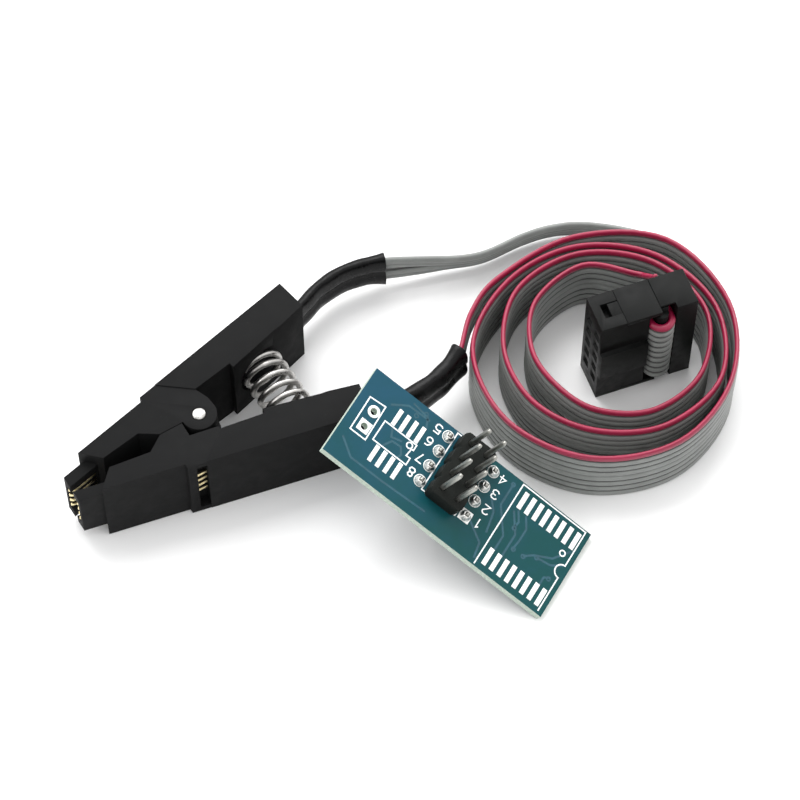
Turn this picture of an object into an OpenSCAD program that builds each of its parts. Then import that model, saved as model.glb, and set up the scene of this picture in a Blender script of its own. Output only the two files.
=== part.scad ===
// Test clip for an eight-lead small-outline chip, with its flat cable, its socket
// and the adapter board that the socket plugs on.
// Origin: on the pivot pin's axis, level with the table that the clip lies on.
// +X runs along the clip from its nose to its handles, +Y towards the jaw that opens,
// and +Z up, along the pivot pin.

/* [Clip] */
// Height of the handle covers
clip_h = 12.4; // [12:0.1:14]
// How far the jaws stand back from the covers, above and below
jaw_inset = 0.15; // [0.1:0.05:0.6]
// Distance from the pin to the shoulder behind the nose
jaw_front = 16.45; // [15.5:0.05:18]
// Length of the nose in front of that shoulder
nose_len = 2.95; // [2.4:0.05:3.6]
// Height of the nose, across the four contacts
nose_h = 8; // [7:0.1:9]
// Distance from the pin to the end of the handles
handle_len = 20.3; // [19.5:0.1:23]
// Distance from the pin to a cover's outer face, square to the clip
cover_half = 7.55; // [7.4:0.05:8.2]
// Distance from the pin to a handle's inner face, square to the clip
throat_half = 3.24; // [3.1:0.02:3.5]
// Angle between the clip and a handle's outer face
flare_out = 12.6; // [12:0.1:14]
// Angle between the clip and a handle's inner face
flare_in = 9.9; // [9:0.1:11]
// Wall of the handle covers
cover_wall = 0.8; // [0.6:0.05:1]
// Wall of the handle covers where the spring sits
seat_wall = 1.6; // [1.4:0.05:1.8]
// Step from the cover's outer face in to the jaw's
jaw_step = 0.63; // [0.5:0.01:0.8]
// Step from the jaw's outer face in to the nose's
nose_step = 0.48; // [0.3:0.01:0.6]
// Thickness of the nose, square to the clip
nose_t = 1.7; // [1.5:0.05:1.8]
// How far a handle's inner face turns outward at its end
end_step = 0.5; // [0.4:0.02:1]

/* [Hinge and spring] */
// Diameter of the pivot pin
pin_d = 1.8; // [1.5:0.05:2]
// Radial clearance between the pin and the moving ears
pin_clear = 0.05; // [0.02:0.01:0.08]
// Radius of the hinge ears
ear_r = 2.4; // [2.1:0.05:2.45]
// Thickness of each outer ear
ear_t = 2.6; // [2:0.1:3.2]
// Gap between the ears and the knuckle that they straddle
ear_gap = 0.15; // [0.1:0.01:0.3]
// Outer diameter of the spring
spring_d = 6.5; // [6:0.1:6.8]
// Wire diameter of the spring
spring_wire = 0.75; // [0.6:0.05:0.9]
// Distance from the pin to the spring
spring_x = 12.3; // [11.8:0.1:12.8]
// Turns of the spring
spring_turns = 6.5; // [5.5:0.5:7.5]

/* [Contacts] */
// Distance between the chip's leads
lead_pitch = 1.27; // [1.2:0.01:1.3]
// Width of a contact
contact_w = 0.5; // [0.4:0.02:0.6]
// Thickness of a contact
contact_t = 0.25; // [0.2:0.01:0.3]
// Half of the gap between the two rows of contact tips when the clip is shut
tip_gap = 0.85; // [0.6:0.01:1]

/* [Cable] */
// Distance between the cable's conductors
wire_pitch = 1.27; // [1.2:0.01:1.3]
// Diameter of a conductor over its insulation
wire_d = 0.95; // [0.85:0.01:1]
// Width of the shrink sleeves
sleeve_w = 5.8; // [5.6:0.1:6]
// Thickness of the shrink sleeves
sleeve_t = 1.7; // [1.5:0.05:1.8]

/* [Socket] */
// Length of the socket, across its five pairs of holes
socket_l = 17; // [16.5:0.1:18]
// Thickness of the socket
socket_t = 5.6; // [5.4:0.1:6]
// Depth of the socket's body, from its face to the cable
socket_depth = 6.9; // [6.5:0.1:7.2]
// Distance between the socket's holes
pin_pitch = 2.54; // [2.5:0.01:2.58]
// Width of the square lead-in of a hole
hole_w = 1.1; // [0.9:0.05:1.3]
// Thickness of the bar that clamps the cable
clamp_t = 1.95; // [1.8:0.05:2.1]
// Thickness of the strain relief's roof
roof_t = 3; // [2.6:0.1:3.4]
// Height of the key on the socket's long side
key_h = 0.7; // [0.5:0.05:0.9]
// Width of that key
key_w = 5.6; // [5:0.1:6]

/* [Adapter] */
// Distance from the first pin column to the board's far end
board_end = 23.4; // [22.6:0.1:26]
// Distance from the first pin column to the board's near end
board_tail = 13; // [12.4:0.1:15]
// Width of the board
board_w = 14.1; // [13.9:0.1:15.4]
// Thickness of the board
board_t = 1.2; // [1:0.1:1.7]
// Width of a square pin
post_w = 0.64; // [0.5:0.02:0.7]
// Height of the plastic bars that hold the pins
bar_h = 2.54; // [2:0.02:3]
// Length of the header's pins above their bar
post_l = 6.2; // [5:0.1:7]
// Length of the leg pins below their bars
leg_l = 5; // [4:0.1:6]
// Distance between the two rows of pins below the board
dip_span = 7.62; // [7.5:0.02:7.7]

/* [Hidden] */

round_fn = 48;
cut = 1;                    // how far a cutting shape runs past what it cuts
black = [0.16, 0.16, 0.17];
gold = [0.85, 0.75, 0.45];
steel = [0.75, 0.75, 0.76];
grey = [0.55, 0.55, 0.56];

// ---- shared functions -------------------------------------------------------------

// Point between a and b
function mix(a, b, t) = a + (b - a) * t;

// Points of a smooth curve through the list p, with n steps between neighbours
function spline_at(a, b, c, d, t) =
    0.5 * (2 * b + (c - a) * t + (2 * a - 5 * b + 4 * c - d) * t * t
    + (3 * b - a - 3 * c + d) * t * t * t);
function smooth(p, n) = concat(
    [for (i = [0 : len(p) - 2], k = [0 : n - 1])
        spline_at(p[max(i - 1, 0)], p[i], p[i + 1], p[min(i + 2, len(p) - 1)], k / n)],
    [p[len(p) - 1]]);

// Direction in plan of a path at its point i, and the side that lies to its left
function heading(p, i) =
    let (d = p[min(i + 1, len(p) - 1)] - p[max(i - 1, 0)], l = norm([d[0], d[1]]))
    [d[0] / l, d[1] / l];
function across(p, i) = let (h = heading(p, i)) [-h[1], h[0]];

// Outline of a strip of thickness t that follows the flat path p
function strip(p, t) = concat(
    [for (i = [0 : len(p) - 1]) p[i] + across(p, i) * t / 2],
    [for (i = [len(p) - 1 : -1 : 0]) p[i] - across(p, i) * t / 2]);

// Solid that carries the flat section s, [sideways, up], along the path p, over its
// points first to last. Neighbours on one path meet face to face.
module sweep(p, s, first, last) {
    n = len(s);
    m = last - first + 1;
    points = [for (i = [first : last], q = s)
        let (a = across(p, i)) [p[i][0] + a[0] * q[0], p[i][1] + a[1] * q[0], p[i][2] + q[1]]];
    sides = [for (i = [0 : m - 2], k = [0 : n - 1])
        [i * n + k, i * n + (k + 1) % n, (i + 1) * n + (k + 1) % n, (i + 1) * n + k]];
    ends = [[for (k = [n - 1 : -1 : 0]) k], [for (k = [0 : n - 1]) (m - 1) * n + k]];
    polyhedron(points, concat(sides, ends), convexity = 10);
}

// Flat section of a cable: w tall, t thick, with its corners taken off
function flat_section(w, t, c) = [
    [t / 2, -w / 2 + c], [t / 2, w / 2 - c], [t / 2 - c, w / 2], [-t / 2 + c, w / 2],
    [-t / 2, w / 2 - c], [-t / 2, -w / 2 + c], [-t / 2 + c, -w / 2], [t / 2 - c, -w / 2]];

module slab(z0, z1) translate([0, 0, z0]) linear_extrude(z1 - z0) children();

// ---- clip: faces that the jaws and covers share ------------------------------------

function out_y(x) = cover_half + tan(flare_out) * x;    // a cover's outer face
function in_y(x) = throat_half + tan(flare_in) * x;     // a handle's inner face
function jaw_y(x) = out_y(x) - jaw_step;                // a jaw's outer face
function nose_y(x) = jaw_y(x) - nose_step;              // a nose's outer face

jaw_z0 = jaw_inset;
jaw_z1 = clip_h - jaw_inset;
mid_z = clip_h / 2;
seam = 0.05;                // half of the gap where the shut jaws meet
fit = 0.05;                 // gap between a cover and what it slides over
collar_x = -5.4;            // front and back of the collar on a jaw's outer face
collar_end = -4.2;
lip_in = [1.5, in_y(1.5)];  // a cover's front edge runs from here, by the pin,
lip_out = [-2.8, out_y(-2.8)];  // to here, at its outer face
core_end = 6;               // end of the tongue that a cover slides over
tongue_skin = cover_wall + fit;
ways = 4;                   // contacts on each jaw
function way_z(i, pitch, middle) = middle + (i - (ways - 1) / 2) * pitch;

// Path of a contact in plan, from its tip to its tail
tip_free = 1.1;             // length of a contact's tip that stands clear of the comb
contact_path = [
    [-jaw_front - nose_len + 0.05, tip_gap + contact_t / 2 + 0.3],
    [-jaw_front - nose_len + 0.4, tip_gap + contact_t / 2],
    [-jaw_front - nose_len + tip_free, tip_gap + contact_t / 2 + 0.1],
    [-jaw_front + 1.35, tip_gap + contact_t / 2 + 0.85],
    [collar_x + 0.8, out_y(collar_x + 0.8) - 1.05],
    [collar_end, out_y(collar_end) - 0.8],
    [-2.4, out_y(-2.4) - 1.15],
    [2, out_y(2) - 1.6],
    [core_end + 2.6, out_y(core_end + 2.6) - 2.4]];
tail_end = contact_path[len(contact_path) - 1];

// A jaw's outline round the hinge: notched for the other jaw's ears, or with an ear
function jaw_front_points() = [
    [1.1, 2.95], lip_in, lip_out, [collar_x, out_y(collar_x)],
    [collar_x, jaw_y(collar_x)], [-jaw_front, jaw_y(-jaw_front)],
    [-jaw_front + 2.45, 0.8], [-8.3, 1.65], [-5.95, seam], [-2.65, seam]];
module notched_plan() polygon(concat(jaw_front_points(), [[-2.7, 2.2]]));
module eared_plan() {
    notched_plan();
    circle(r = ear_r, $fn = round_fn);
    polygon([[-2.65, seam], [0, 0], [ear_r, seam], [ear_r - 0.15, 1.6], lip_in, [0, 4.5], [-2.7, 2.2]]);
}

// One jaw, drawn on the +Y side; the moving one has the outer ears
module jaw(moving) {
    low = jaw_z0 + ear_t + (moving ? 0 : ear_gap);
    high = jaw_z1 - ear_t - (moving ? 0 : ear_gap);
    bore = pin_d / 2 + (moving ? pin_clear : 0);
    difference() {
        union() {
            slab(jaw_z0, low) if (moving) eared_plan(); else notched_plan();
            slab(high, jaw_z1) if (moving) eared_plan(); else notched_plan();
            slab(low, high) if (moving) notched_plan(); else eared_plan();
            collar();
            nose();
            tongue();
        }
        window();
        comb_pocket();
        for (i = [0 : ways - 1]) contact_slot(way_z(i, lead_pitch, mid_z));
        translate([0, 0, -cut]) cylinder(r = bore, h = clip_h + 2 * cut, $fn = round_fn);
    }
}

// Raised band across a jaw's outer face, as far out as the cover behind it
module collar() {
    slab(jaw_z0, jaw_z1) polygon([
        [collar_x, jaw_y(collar_x) - 1.2], [collar_x, out_y(collar_x)],
        [collar_end, out_y(collar_end)], [collar_end, jaw_y(collar_end) - 1.2]]);
}

// Narrow front block, with its inner face on the chip's side
module nose() {
    tip = -jaw_front - nose_len;
    slab(mid_z - nose_h / 2, mid_z + nose_h / 2) polygon([
        [tip, nose_y(tip) - nose_t], [tip, nose_y(tip)], [-jaw_front + 1, nose_y(-jaw_front + 1)],
        [-jaw_front + 2, nose_y(-jaw_front + 2) - nose_t]]);
}

// Hollow on the nose's inner side, where the contacts lie on a comb with their tips free
comb_h = (ways - 1) * lead_pitch + contact_w + 0.7;
module comb_pocket() {
    p = [for (i = [2, 3]) contact_path[i] - [0, contact_t / 2 + 0.1]];
    slab(mid_z - comb_h / 2, mid_z + comb_h / 2) polygon([
        [-jaw_front - nose_len - cut, -cut], [-jaw_front - nose_len - cut, contact_path[2][1] + 0.45],
        [p[0][0], contact_path[2][1] + 0.45], p[0], p[1], [p[1][0], 0], [p[1][0], -cut]]);
}

// Tongue that the cover slides over, with the contacts' tails in it
module tongue() {
    slab(tongue_skin, clip_h - tongue_skin) polygon([
        [-3, out_y(-3) - tongue_skin], [core_end, out_y(core_end) - tongue_skin],
        [core_end, in_y(core_end) + seat_wall + fit], [1.2, in_y(1.2) + seat_wall + fit], [-3, 4.4]]);
}

// Gap between the collar and the cover, where the contacts lie open
rim = 0.9;                  // wall above and below it
module window() {
    slab(jaw_z0 + rim, jaw_z1 - rim) polygon([
        [collar_end, out_y(collar_end) - 0.55], [0, out_y(0) - 0.55],
        [0, out_y(0) + cut], [collar_end, out_y(collar_end) + cut]]);
    slab(jaw_z0 + rim, jaw_z1 - rim) polygon([
        [collar_end, out_y(collar_end) - 1.4], [-2.6, out_y(-2.6) - 1.4],
        [-2.6, out_y(-2.6) + cut], [collar_end, out_y(collar_end) + cut]]);
}

// Room for one contact: a slot through the jaw and the comb
module contact_slot(z) {
    w = contact_w + 2 * fit;
    slab(z - w / 2, z + w / 2) polygon(strip(contact_path, contact_t + 2 * fit));
}

module contact_row() {
    for (i = [0 : ways - 1]) {
        z = way_z(i, lead_pitch, mid_z);
        slab(z - contact_w / 2, z + contact_w / 2) polygon(strip(contact_path, contact_t));
    }
}

// ---- clip: handle covers, and what is inside them ----------------------------------

end_out = handle_len - 0.8;         // a cover's outer corner stands back from its inner one
end_y = in_y(handle_len) + end_step;
heel = handle_len - 4.1;            // the inner face turns outward here
pad_x = spring_x - spring_d / 2 - 1.6;  // the wall stands forward round the spring from here
pad_end = spring_x + spring_d / 2 - 0.4;
pad_step = 0.75;
module cover_plan() polygon([
    lip_in, lip_out, [end_out, out_y(end_out)], [handle_len, end_y],
    [heel, in_y(heel)], [pad_end, in_y(pad_end)], [pad_x, in_y(pad_x) - pad_step], [pad_x - 0.1, in_y(pad_x - 0.1)]]);
module hollow_plan() polygon([
    [lip_in[0] - 1.5, in_y(lip_in[0] - 1.5) + seat_wall], [-8, out_y(-8) - cover_wall],
    [end_out - 1.2, out_y(end_out - 1.2) - cover_wall],
    [handle_len - 1.9, end_y + 1], [heel - 0.6, in_y(heel - 0.6) + seat_wall]]);

// Spring seat: a flat floor cut square to the spring into the sloping inner wall
seat_y = in_y(spring_x) + 0.35;
module spring_seat() {
    translate([spring_x, seat_y, mid_z]) rotate([90, 0, 0])
        cylinder(d = spring_d + 0.8, h = seat_y, $fn = round_fn);
}

// One cover, drawn on the +Y side, with the hole for a sleeve that leaves along way_out
module cover(way_out) {
    difference() {
        slab(0, clip_h) cover_plan();
        slab(cover_wall, clip_h - cover_wall) hollow_plan();
        spring_seat();
        sleeve_hole(way_out);
    }
}
module sleeve_hole(p) {
    d = p[1] - p[0];
    back = p[1][0] - handle_len + 3.2;     // from that point to inside the end wall
    translate([p[1][0], p[1][1], p[1][2]]) rotate([0, 0, atan2(d[1], d[0])])
        translate([-back, -sleeve_t / 2 - fit, -sleeve_w / 2 - 0.25])
            cube([back + 2.4, sleeve_t + 2 * fit, sleeve_w + 0.5]);
}

// Route points of the shrink sleeves, from inside the handle to the bare cable
upper_sleeve_way = [
    [18, 9, 5], [20, 9.75, 4.6], [22.5, 10.8, 4.2], [25.5, 11.9, 3.8], [29, 12.4, 3.4],
    [32.5, 12, 3.2], [35.6, 11, 3.1]];
lower_sleeve_way = [
    [18, -9, 6.3], [20, -9.6, 6.4], [22.5, -10.2, 6.6], [26, -10.6, 7], [29, -10.6, 7.3],
    [32, -10, 7.5], [35.2, -8.7, 7.6]];
function mirrored(p) = [for (q = p) [q[0], -q[1], q[2]]];

// A sleeve's section: a flat tube shrunk over two pairs of wires, waisted between them
function sleeve_section() =
    let (w = sleeve_w / 2, t = sleeve_t / 2) [
    [t * 0.7, -w * 0.9], [t, -w * 0.6], [t, -w * 0.3], [t * 0.75, 0], [t, w * 0.3], [t, w * 0.6],
    [t * 0.7, w * 0.9], [0, w], [-t * 0.7, w * 0.9], [-t, w * 0.6], [-t, w * 0.3],
    [-t * 0.75, 0], [-t, -w * 0.3], [-t, -w * 0.6], [-t * 0.7, -w * 0.9], [0, -w]];

// Wires from the solder on the contact tails to the sleeve, on the +Y side
solder_r = 0.58;
wire_stop = 0.35;           // the wires' slanting ends stand back from the flat sleeve
function tail(i) = [tail_end[0], tail_end[1], way_z(i, lead_pitch, mid_z)];
module wire(i, sleeve_start) {
    d = [sleeve_start[0], sleeve_start[1], way_z(i, wire_pitch, sleeve_start[2])] - tail(i);
    translate(tail(i)) rotate([0, acos(d[2] / norm(d)), atan2(d[1], d[0])])
        translate([0, 0, solder_r]) cylinder(d = wire_d, h = norm(d) - solder_r - wire_stop, $fn = 24);
}
module wire_row(sleeve_start) {
    for (i = [0 : ways - 1]) wire(i, sleeve_start);
}
module solder_row() {
    difference() {
        for (i = [0 : ways - 1]) translate(tail(i)) sphere(r = solder_r, $fn = 24);
        contact_row();
    }
}

// ---- socket at the far end: local +X into the socket, +Z along its row of holes ------

socket_at = [50.95, -17.1];
socket_turn = -12;
rows = 5;
cable_ways = 10;
layer = wire_d + 0.05;              // room for one layer of cable
clamp_x = socket_depth + layer;     // front of the clamping bar
fold_r = (clamp_t + layer) / 2;     // radius of the fold at the middle of the cable
fold_y = -socket_t / 2 + 0.7;       // middle of the fold
fold_x0 = socket_depth + layer / 2; // the two layers of the fold
fold_x1 = fold_x0 + 2 * fold_r;
roof_x = fold_x1 + layer / 2;
socket_end = roof_x + roof_t;
socket_mid = socket_l / 2;
function fold_z(k) = socket_mid + (k - (cable_ways - 1) / 2) * wire_pitch;
relief_z = (fold_z(2) + fold_z(9)) / 2;     // middle of the eight conductors in use

// Point on the cable's line out of the strain relief, d from its back face
function inlet(d) =
    let (y = socket_t / 2 + d) [
    socket_at[0] + fold_x1 * cos(socket_turn) - y * sin(socket_turn),
    socket_at[1] + fold_x1 * sin(socket_turn) + y * cos(socket_turn), relief_z];

module at_socket() translate([socket_at[0], socket_at[1], 0]) rotate([0, 0, socket_turn]) children();
module block(x0, x1, y0, y1, z0, z1) translate([x0, y0, z0]) cube([x1 - x0, y1 - y0, z1 - z0]);

leg_w = 2.1;                // width of the clamping bar's latches
leg_t = 0.7;                // thickness of the plates over the socket's ends
latch_x = 1.2;              // front of the latch windows in the body's ends
plate_x = 3.7;              // front of the clamping bar's plates
relief_x = 8.7;             // front of the strain relief's plates
module socket_body() {
    color(black) at_socket() difference() {
        union() {
            block(0, socket_depth, -socket_t / 2, socket_t / 2, 0, socket_l);
            block(0, socket_depth - 0.1, -socket_t / 2 - key_h, 0, socket_mid - key_w / 2, socket_mid + key_w / 2);
        }
        for (r = [0 : rows - 1], side = [-1, 1])
            translate([0, side * pin_pitch / 2, socket_mid + (r - (rows - 1) / 2) * pin_pitch]) {
                translate([-cut, -hole_w / 2, -hole_w / 2]) cube([cut + socket_depth - 0.8, hole_w, hole_w]);
                lead_in();
            }
        for (top = [0, 1]) latch_window(top);
        for (k = [0 : cable_ways - 1]) translate([fold_x0, 0, fold_z(k)]) rotate([90, 0, 0])
            cylinder(d = layer, h = socket_t + 2 * cut, center = true, $fn = 24);
        each_contact() bite(fit);
    }
}
// Sloping mouth of one hole
module lead_in() {
    rotate([0, 90, 0]) rotate([0, 0, 45])
        cylinder(r1 = hole_w, r2 = hole_w / 2, h = 0.6, $fn = 4);
}
// Recess at one end of the body for the clamping bar's plate and latch
module latch_window(top) {
    z = top ? socket_l - leg_t - fit : -cut;
    translate([plate_x - fit, -socket_t, z])
        cube([socket_depth - plate_x + cut, 2 * socket_t, leg_t + fit + cut]);
    hook_z = top ? socket_l - 1.5 : -cut;
    translate([latch_x, -leg_w / 2 - fit, hook_z])
        cube([plate_x - latch_x, leg_w + 2 * fit, 1.5 + cut]);
}

module socket_cover() {
    color(black) at_socket() difference() {
        union() {
            block(clamp_x, clamp_x + clamp_t, fold_y, socket_t / 2, leg_t / 2, socket_l - leg_t / 2);
            translate([clamp_x + clamp_t / 2, fold_y, 1.2])
                cylinder(d = clamp_t, h = socket_l - 2.4, $fn = round_fn);
            for (top = [0, 1]) clamp_leg(top);
        }
        for (k = [0 : cable_ways - 1], x = [fold_x0, fold_x1])
            translate([x, 0, fold_z(k)]) rotate([90, 0, 0])
                cylinder(d = layer, h = socket_t + 4, center = true, $fn = 24);
    }
}
// Plate of the clamping bar, with a latch that catches in the body's window
module clamp_leg(top) {
    z = top ? socket_l - leg_t : 0;
    block(plate_x, relief_x, -socket_t / 2, socket_t / 2, z, z + leg_t);
    hook_z = top ? socket_l - 1.35 : 0.15;
    block(latch_x + 1, plate_x - fit, -leg_w / 2, leg_w / 2, hook_z, hook_z + 1.2);
    block(latch_x + 1, plate_x + 0.1, -leg_w / 2, leg_w / 2, z + 0.15, z + leg_t - 0.15);
}

module strain_relief() {
    cheek = leg_t / 2 - fit;        // its plates lie over the ends of the clamping bar
    notch_y = 0.9 - socket_t / 2;
    color(black) at_socket() difference() {
        union() {
            block(roof_x, socket_end, -socket_t / 2, socket_t / 2, 0, socket_l);
            for (top = [0, 1]) {
                z = top ? socket_l - cheek : 0;
                block(relief_x + fit, socket_end, notch_y, socket_t / 2, z, z + cheek);
                block(clamp_x + clamp_t + 1.6, socket_end, -socket_t / 2, socket_t / 2, z, z + cheek);
            }
        }
        for (k = [0 : cable_ways - 1]) translate([fold_x1, 0, fold_z(k)]) rotate([90, 0, 0])
            cylinder(d = layer, h = socket_t + 4, center = true, $fn = 24);
    }
}

// Ten-way end of the cable: through the body, round the clamping bar and out again
module ribbon_fold() {
    color(grey) at_socket() {
        for (k = [0 : cable_ways - 1]) translate([0, 0, fold_z(k)]) {
            straight = socket_t / 2 - fold_y;
            for (x = [fold_x0, fold_x1]) translate([x, fold_y, 0]) rotate([-90, 0, 0])
                cylinder(d = wire_d, h = straight, $fn = 24);
            translate([(fold_x0 + fold_x1) / 2, fold_y, 0]) rotate([0, 0, 180])
                rotate_extrude(angle = 180, $fn = round_fn) translate([fold_r, 0]) circle(d = wire_d, $fn = 24);
        }
        web();
    }
}
// Thin web that joins the conductors of the fold
module web() {
    t = 0.35;
    slab(fold_z(0), fold_z(cable_ways - 1)) {
        for (x = [fold_x0, fold_x1]) translate([x - t / 2, fold_y]) square([t, socket_t / 2 - fold_y]);
        translate([(fold_x0 + fold_x1) / 2, fold_y]) intersection() {
            difference() {
                circle(r = fold_r + t / 2, $fn = round_fn);
                circle(r = fold_r - t / 2, $fn = round_fn);
            }
            translate([-4, -8]) square([8, 8]);
        }
    }
}

// Forked contacts: a fork that takes a pin, and a blade that bites into the cable
blade = 0.3;                // thickness of a contact
fork_gap = 0.6;             // gap that a pin spreads
back_wall = 0.8;            // wall between the holes and the cable
module each_contact() {
    for (r = [0 : rows - 1], $side = [-1, 1])
        translate([0, $side * pin_pitch / 2, socket_mid + (r - (rows - 1) / 2) * pin_pitch]) children();
}
// Blade from the back of a hole to the middle of its conductor, grown by g
module bite(g) {
    z = $side * wire_pitch / 2;
    block(socket_depth - back_wall - cut / 10, fold_x0, -0.2 - g, 0.2 + g,
        min(0, z) - blade / 2 - g, max(0, z) + blade / 2 + g);
}
module socket_contacts() {
    root = socket_depth - back_wall;
    color(gold) at_socket() each_contact() {
        for (s = [-1, 1]) block(1.2, root, min(s * fork_gap / 2, s * 0.5), max(s * fork_gap / 2, s * 0.5),
            -blade, blade);
        block(root - 0.6, root, -0.5, 0.5, -blade, blade);
        bite(0);
    }
}

// ---- cable ---------------------------------------------------------------------------

table_gap = 0.1;            // height of the cable's lower edge
strands = 8;
function strand_z(k) = table_gap + wire_d / 2 + wire_pitch * k;
function band_h(n) = wire_pitch * (n - 1) + wire_d;
lead_low_z = (strand_z(0) + strand_z(3)) / 2;       // middle of the lower four conductors
lead_high_z = (strand_z(4) + strand_z(7)) / 2;      // middle of the upper four
ribbon_z = (strand_z(0) + strand_z(7)) / 2;

// The loose coil stands on edge round this point. Its turns are worked out by a loop from
// the distance to the middle at each ninth of a turn, chosen by hand.
coil_at = [52.5, -18];
coil_start = 150;
coil_step = 40;
coil_r = [
    19.2, 17.7, 17.8, 19.3, 18.4, 17.7, 17.8, 17.8, 17.9,
    17.8, 16.4, 16.2, 16.3, 16.5, 16.3, 14.8, 13.5, 13.3,
    13.6, 14.6, 15, 15.1, 15, 13.6, 12, 10.3, 9.2,
    9.9, 11.5, 12.9];
merge = 4;                  // the two leads join at this point of the coil
lead_bend = [40.1, -4.1];   // the lower lead bends round the coil here
function coil_point(i, z) =
    let (a = coil_start - coil_step * i) [
    coil_at[0] + coil_r[i] * cos(a), coil_at[1] + coil_r[i] * sin(a), z];

// Rise of the cable from the table to the strain relief over the coil's last points
coil_rise = [0.3, 1.5];
function rise(i) = let (k = i - (len(coil_r) - len(coil_rise))) k < 0 ? 0 : coil_rise[k];
// Route points from the coil into the strain relief: x, y and the rise
inlet_way = [
    [63.6, -10.2, 2.9], [64.1, -12, 3.6], [63.5, -13.7, 4.1], [62.3, -14.9, 4.5]];
upper_lead_points = [
    [42.6, 8, 2.5], [48.4, 6.2, 2.5], [54.8, 5.4, 2.5], [59.1, 4.5, 2.5],
    [63.1, 2.6, 2.5], [67.5, -1.2, 2.5], [70, -5, 2.5], [71.4, -11.5, 2.5]];

// A cable's whole route: out of its handle, once round the coil to where the two leads
// join, and on with its middle at the height z
function lower_route(z) = concat(
    lower_sleeve_way,
    [[lead_bend[0], lead_bend[1], z]],
    [for (i = [1 : len(coil_r) - 1]) coil_point(i, z + rise(i))],
    [for (q = inlet_way) [q[0], q[1], z + q[2]]],
    [inlet(0.9), inlet(0)]);
upper_route = concat(
    upper_sleeve_way, upper_lead_points,
    [coil_point(merge, lead_low_z), coil_point(merge + 1, lead_low_z)]);
lower_sleeve_end = len(lower_sleeve_way) - 1;
lower_lead_end = lower_sleeve_end + 1 + merge;
upper_sleeve_end = len(upper_sleeve_way) - 1;
fine = 2;                   // rings between neighbouring route points

// ---- adapter board: local +X along the board, +Y across it, +Z out of its face --------

pins = 4;
first_edge = 1.55;          // board's edge beyond the first row of pins
leg_drop = bar_h + leg_l;
board_tilt = atan(leg_drop / (board_end - dip_span - post_w / 2));
board_yaw = -61.7;
board_at = [26.29, -19.94, board_end * sin(board_tilt) + board_t * cos(board_tilt)];
drill = 1;
columns = [0, dip_span];
header_columns = [(dip_span - pin_pitch) / 2, (dip_span + pin_pitch) / 2];
supply_x = -10.1;           // the two holes of the supply terminal
supply_y = [-3.8, -6.34];
function pin_y(j) = -pin_pitch * j;

module on_board() translate(board_at) rotate([0, 0, board_yaw]) rotate([0, board_tilt, 0]) children();
module each_hole() {
    for (x = concat(columns, header_columns), j = [0 : pins - 1]) translate([x, pin_y(j), 0]) children();
    for (y = supply_y) translate([supply_x, y, 0]) children();
}
module post(z0, z1) translate([-post_w / 2, -post_w / 2, z0]) cube([post_w, post_w, z1 - z0]);
// Square pin from z0 to z1 with both tips chamfered
module pin(z0, z1) {
    tip = post_w * 0.6;
    function square_at(w, z) = [[-w, -w, z], [w, -w, z], [w, w, z], [-w, w, z]];
    rings = concat(square_at(tip / 2, z0), square_at(post_w / 2, z0 + tip),
        square_at(post_w / 2, z1 - tip), square_at(tip / 2, z1));
    sides = [for (i = [0 : 2], k = [0 : 3])
        [4 * i + k, 4 * i + (k + 1) % 4, 4 * i + 4 + (k + 1) % 4, 4 * i + 4 + k]];
    polyhedron(rings, concat([[3, 2, 1, 0], [12, 13, 14, 15]], sides));
}
module fillet_cone(z, up) {
    translate([0, 0, z]) mirror([0, 0, up ? 0 : 1]) difference() {
        cylinder(r1 = 0.82, r2 = 0.46, h = 0.7, $fn = 32);
        post(-cut, 1 + cut);
    }
}
// Bar of moulded plastic that carries n columns of four pins, with nipped corners
module pin_bar(n) {
    c = 0.45;
    difference() {
        for (j = [0 : pins - 1]) translate([0, pin_y(j) - pin_pitch / 2, 0]) linear_extrude(bar_h) polygon([
            [c - pin_pitch / 2, 0], [(n - 0.5) * pin_pitch - c, 0], [(n - 0.5) * pin_pitch, c],
            [(n - 0.5) * pin_pitch, pin_pitch - c], [(n - 0.5) * pin_pitch - c, pin_pitch],
            [c - pin_pitch / 2, pin_pitch], [-pin_pitch / 2, pin_pitch - c], [-pin_pitch / 2, c]]);
        for (i = [0 : n - 1], j = [0 : pins - 1]) translate([i * pin_pitch, pin_y(j), 0]) post(-cut, bar_h + cut);
    }
}

module adapter_board() {
    color([0.08, 0.42, 0.5]) on_board() difference() {
        translate([-board_tail, first_edge - board_w, -board_t]) cube([board_end + board_tail, board_w, board_t]);
        each_hole() translate([0, 0, -board_t - cut]) cylinder(d = drill, h = board_t + 2 * cut, $fn = 32);
    }
}

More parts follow.
